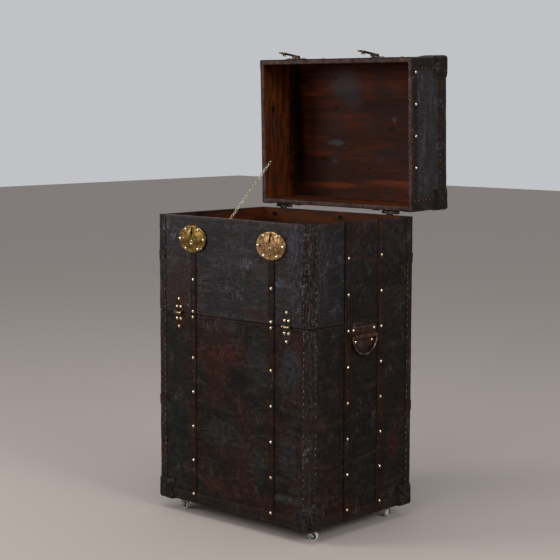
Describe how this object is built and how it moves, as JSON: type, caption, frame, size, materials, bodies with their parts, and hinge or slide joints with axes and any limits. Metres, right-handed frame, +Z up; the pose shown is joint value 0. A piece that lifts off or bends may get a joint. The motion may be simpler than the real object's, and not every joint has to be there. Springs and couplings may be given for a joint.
{
  "type": "wardrobe trunk",
  "caption": "Tall leather-covered wooden trunk with an open lid on a chain, a fold-down upper front, hasps, lock plates, side ring handles and castors.",
  "frame": {"origin": "on the floor, below the middle of the bounding box with the lid standing open", "axes": "+X to the right as seen from the front, +Y from the front to the back, +Z up"},
  "size_m": [0.6008, 0.5968, 1.3103],
  "materials": {
    "stained_wood": "dark red-brown stain, worn",
    "black_leather": "worn, waxed",
    "strap_leather": "worn",
    "trim_leather": "worn, stitched",
    "brass": "aged, rubbed bright",
    "dark_brass": "dark patina",
    "chain_brass": "aged",
    "steel": "dull zinc",
    "wheel_plastic": "milky, scuffed"
  },
  "bodies": {
    "trunk": {"floor_board": "stained_wood", "back_board": "stained_wood", "left_side_board": "stained_wood", "right_side_board": "stained_wood", "front_board": "stained_wood", "body_leather": "black_leather", "body_edge_bindings": "trim_leather", "body_corner_caps": "trim_leather", "body_straps": "strap_leather", "body_studs": "brass", "handle_loops": "strap_leather", "castor_plates": "steel", "castor_screws": "steel", "back_hinge_body_leaves": "steel", "hinge_pins": "brass", "front_hinge_lower_patches": "strap_leather", "front_hinge_lower_leaves": "brass", "chain_body_screw": "steel"},
    "flap": {"flap_board": "stained_wood", "flap_left_wing": "stained_wood", "flap_right_wing": "stained_wood", "flap_leather": "black_leather", "flap_edge_bindings": "trim_leather", "flap_straps": "strap_leather", "flap_studs": "brass", "front_hinge_upper_patches": "strap_leather", "front_hinge_upper_leaves": "brass", "lock_plates": "brass"},
    "lid": {"lid_top_board": "stained_wood", "lid_front_board": "stained_wood", "lid_back_board": "stained_wood", "lid_left_board": "stained_wood", "lid_right_board": "stained_wood", "lid_leather": "black_leather", "lid_edge_bindings": "trim_leather", "lid_corner_caps": "trim_leather", "lid_straps": "strap_leather", "lid_studs": "brass", "back_hinge_lid_leaves": "steel", "hasp_hinge_plates": "dark_brass", "chain_lid_screw": "steel"},
    "left_hasp": {"left_hasp": "dark_brass"},
    "right_hasp": {"right_hasp": "dark_brass"},
    "left_handle_ring": {"left_handle_ring": "dark_brass"},
    "right_handle_ring": {"right_handle_ring": "dark_brass"},
    "left_lock_bolt": {"left_lock_bolt": "steel"},
    "right_lock_bolt": {"right_lock_bolt": "steel"},
    "chain_run_1": {"chain_run_1": "chain_brass"},
    "chain_run_2": {"chain_run_2": "chain_brass"},
    "chain_run_3": {"chain_run_3": "chain_brass"},
    "chain_run_4": {"chain_run_4": "chain_brass"},
    "castor_fork_fr": {"castor_fork_fr": "steel"},
    "castor_fork_fl": {"castor_fork_fl": "steel"},
    "castor_fork_rr": {"castor_fork_rr": "steel"},
    "castor_fork_rl": {"castor_fork_rl": "steel"},
    "castor_wheel_fr": {"castor_wheel_fr": "wheel_plastic"},
    "castor_wheel_fl": {"castor_wheel_fl": "wheel_plastic"},
    "castor_wheel_rr": {"castor_wheel_rr": "wheel_plastic"},
    "castor_wheel_rl": {"castor_wheel_rl": "wheel_plastic"}
  },
  "joints": [
    {"name": "lid_hinge", "type": "hinge", "parent": "trunk", "child": "lid", "pos_m": [0, 0.14363, 0.858], "axis": [1, 0, 0], "range_deg": [0, 88.4]},
    {"name": "flap_hinge", "type": "hinge", "parent": "trunk", "child": "flap", "pos_m": [0, -0.29477, 0.577], "axis": [1, 0, 0], "range_deg": [0, 172]},
    {"name": "left_hasp_hinge", "type": "hinge", "parent": "lid", "child": "left_hasp", "pos_m": [-0.1495, 0.13285, 1.29787], "axis": [-1, 0, 0], "range_deg": [-34, 140]},
    {"name": "left_ring_hinge", "type": "hinge", "parent": "trunk", "child": "left_handle_ring", "pos_m": [-0.2945, -0.07337, 0.539], "axis": [0, 1, 0], "range_deg": [0, 105]},
    {"name": "left_bolt_slide", "type": "slide", "parent": "flap", "child": "left_lock_bolt", "axis": [1, 0, 0], "range_m": [0, 0.007]},
    {"name": "right_hasp_hinge", "type": "hinge", "parent": "lid", "child": "right_hasp", "pos_m": [0.1495, 0.13285, 1.29787], "axis": [-1, 0, 0], "range_deg": [-34, 140]},
    {"name": "right_ring_hinge", "type": "hinge", "parent": "trunk", "child": "right_handle_ring", "pos_m": [0.2945, -0.07337, 0.539], "axis": [0, -1, 0], "range_deg": [0, 105]},
    {"name": "right_bolt_slide", "type": "slide", "parent": "flap", "child": "right_lock_bolt", "axis": [-1, 0, 0], "range_m": [0, 0.007]},
    {"name": "chain_pivot_1", "type": "hinge", "parent": "trunk", "child": "chain_run_1", "pos_m": [-0.2665, -0.07437, 0.776], "axis": [1, 0, 0], "range_deg": [-149.8, 1.5]},
    {"name": "chain_pivot_2", "type": "hinge", "parent": "chain_run_1", "child": "chain_run_2", "pos_m": [-0.2665, -0.02049, 0.82669], "axis": [1, 0, 0], "range_deg": [-1.5, 118.3]},
    {"name": "chain_pivot_4", "type": "hinge", "parent": "lid", "child": "chain_run_4", "pos_m": [-0.2665, 0.14906, 0.9862], "axis": [1, 0, 0], "range_deg": [-48.2, 1.5]},
    {"name": "chain_pivot_3", "type": "hinge", "parent": "chain_run_4", "child": "chain_run_3", "pos_m": [-0.2665, 0.09517, 0.93551], "axis": [1, 0, 0], "range_deg": [-11.1, 1.5]},
    {"name": "castor_swivel_fr", "type": "hinge", "parent": "trunk", "child": "castor_fork_fr", "pos_m": [0.2445, -0.24537, 0.037], "axis": [0, 0, 1], "continuous": true},
    {"name": "castor_roll_fr", "type": "hinge", "parent": "castor_fork_fr", "child": "castor_wheel_fr", "pos_m": [0.2598, -0.24069, 0.0125], "axis": [-0.2924, 0.9563, 0], "continuous": true},
    {"name": "castor_swivel_fl", "type": "hinge", "parent": "trunk", "child": "castor_fork_fl", "pos_m": [-0.2445, -0.24537, 0.037], "axis": [0, 0, 1], "continuous": true},
    {"name": "castor_roll_fl", "type": "hinge", "parent": "castor_fork_fl", "child": "castor_wheel_fl", "pos_m": [-0.22859, -0.24704, 0.0125], "axis": [0.1045, 0.9945, 0], "continuous": true},
    {"name": "castor_swivel_rr", "type": "hinge", "parent": "trunk", "child": "castor_fork_rr", "pos_m": [0.2445, 0.09563, 0.037], "axis": [0, 0, 1], "continuous": true},
    {"name": "castor_roll_rr", "type": "hinge", "parent": "castor_fork_rr", "child": "castor_wheel_rr", "pos_m": [0.2525, 0.08178, 0.0125], "axis": [0.866, 0.5, 0], "continuous": true},
    {"name": "castor_swivel_rl", "type": "hinge", "parent": "trunk", "child": "castor_fork_rl", "pos_m": [-0.2445, 0.09563, 0.037], "axis": [0, 0, 1], "continuous": true},
    {"name": "castor_roll_rl", "type": "hinge", "parent": "castor_fork_rl", "child": "castor_wheel_rl", "pos_m": [-0.23139, 0.08646, 0.0125], "axis": [0.5736, 0.8192, 0], "continuous": true}
  ],
  "couplings": [
    {"joint": "chain_pivot_1", "follows": "lid_hinge", "ratio": -1.6771},
    {"joint": "chain_pivot_2", "follows": "lid_hinge", "ratio": 1.3213},
    {"joint": "chain_pivot_4", "follows": "lid_hinge", "ratio": -0.52776},
    {"joint": "chain_pivot_3", "follows": "lid_hinge", "ratio": -0.1086}
  ]
}
